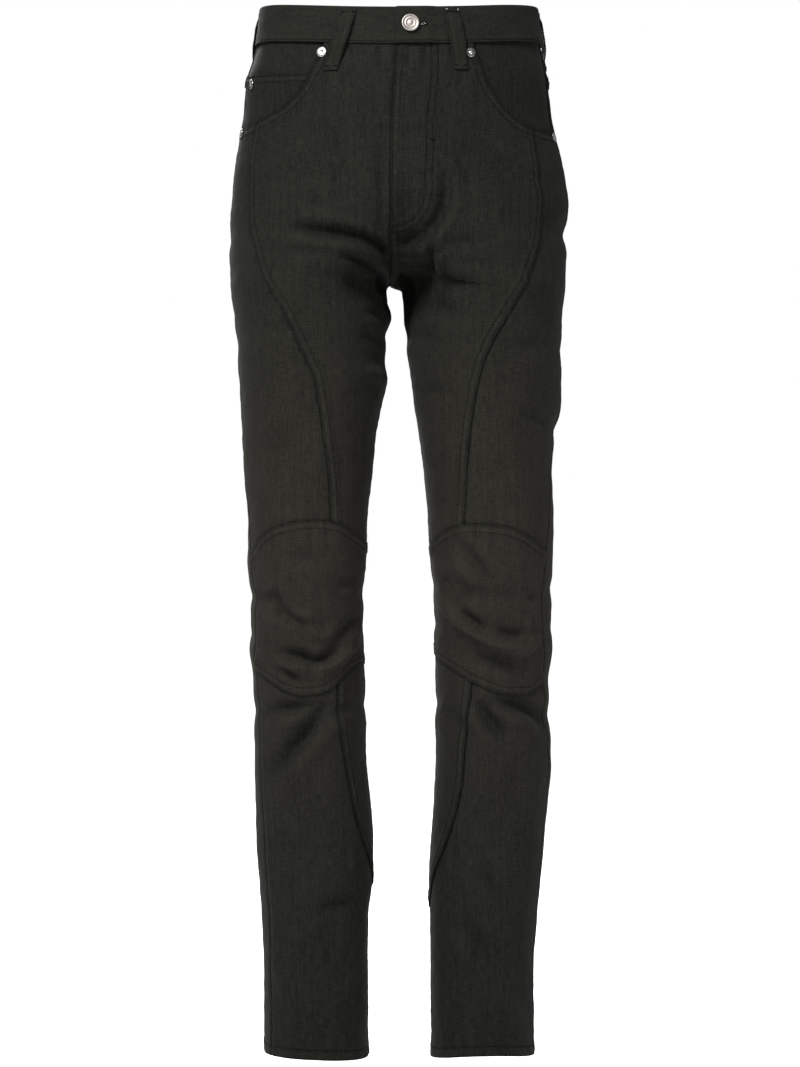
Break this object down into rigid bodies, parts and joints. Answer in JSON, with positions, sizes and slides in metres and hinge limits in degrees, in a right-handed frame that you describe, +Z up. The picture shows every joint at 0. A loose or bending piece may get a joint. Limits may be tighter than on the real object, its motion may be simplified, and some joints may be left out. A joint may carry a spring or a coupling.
{
  "type": "skinny trousers",
  "caption": "Slim high-rise trousers in charcoal twill, worn shape held open, with curved thigh seams, arched knee panels, belt loops, front pockets and a buttoned fly.",
  "frame": {"origin": "inside the waist opening, level with the waistband's top edge at the sides, where the wearer's waist holds the trousers", "axes": "+Z up towards the waist opening, -Y towards the front of the trousers, +X towards the wearer's left"},
  "size_m": [0.3515, 0.2359, 1.0963],
  "materials": {
    "denim_thigh": "matt charcoal slubby twill",
    "denim_hips": "matt charcoal slubby twill",
    "denim_band": "matt charcoal slubby twill",
    "denim_knee": "matt charcoal slubby twill, a little paler",
    "denim_shin": "matt charcoal slubby twill",
    "metal_button": "brushed warm nickel",
    "metal_rivet": "brushed nickel"
  },
  "bodies": {
    "root": {"back_ankle_left": "denim_thigh", "back_ankle_right": "denim_thigh", "back_calf_left": "denim_thigh", "back_calf_right": "denim_thigh", "back_knee_left": "denim_thigh", "back_knee_right": "denim_thigh", "back_low_left": "denim_thigh", "back_low_right": "denim_thigh", "back_seat_left": "denim_thigh", "back_seat_right": "denim_thigh", "back_thigh_left": "denim_thigh", "back_thigh_right": "denim_thigh", "belt_loop_back": "denim_band", "belt_loop_front_left": "denim_band", "belt_loop_front_right": "denim_band", "belt_loop_side_left": "denim_band", "belt_loop_side_right": "denim_band", "coin_pocket_right": "denim_hips", "fly_shield": "denim_hips", "front_crotch_left": "denim_thigh", "front_crotch_right": "denim_thigh", "front_hip_left": "denim_thigh", "front_hip_right": "denim_thigh", "front_thigh_left": "denim_thigh", "front_thigh_right": "denim_thigh", "gusset_left": "denim_shin", "gusset_right": "denim_shin", "knee_left": "denim_knee", "knee_right": "denim_knee", "pocket_facing_left": "denim_hips", "pocket_facing_right": "denim_hips", "rivet_coin_right": "metal_rivet", "rivet_end_left": "metal_rivet", "rivet_end_right": "metal_rivet", "rivet_mouth_left": "metal_rivet", "rivet_mouth_right": "metal_rivet", "shin_ankle_left": "denim_shin", "shin_ankle_right": "denim_shin", "shin_calf_left": "denim_shin", "shin_calf_right": "denim_shin", "side_front_hip_left": "denim_thigh", "side_front_hip_right": "denim_thigh", "side_front_low_left": "denim_thigh", "side_front_low_right": "denim_thigh", "side_front_thigh_left": "denim_thigh", "side_front_thigh_right": "denim_thigh", "waist_button": "metal_button", "waistband": "denim_band", "yoke_left": "denim_hips", "yoke_right": "denim_hips"}
  },
  "joints": []
}
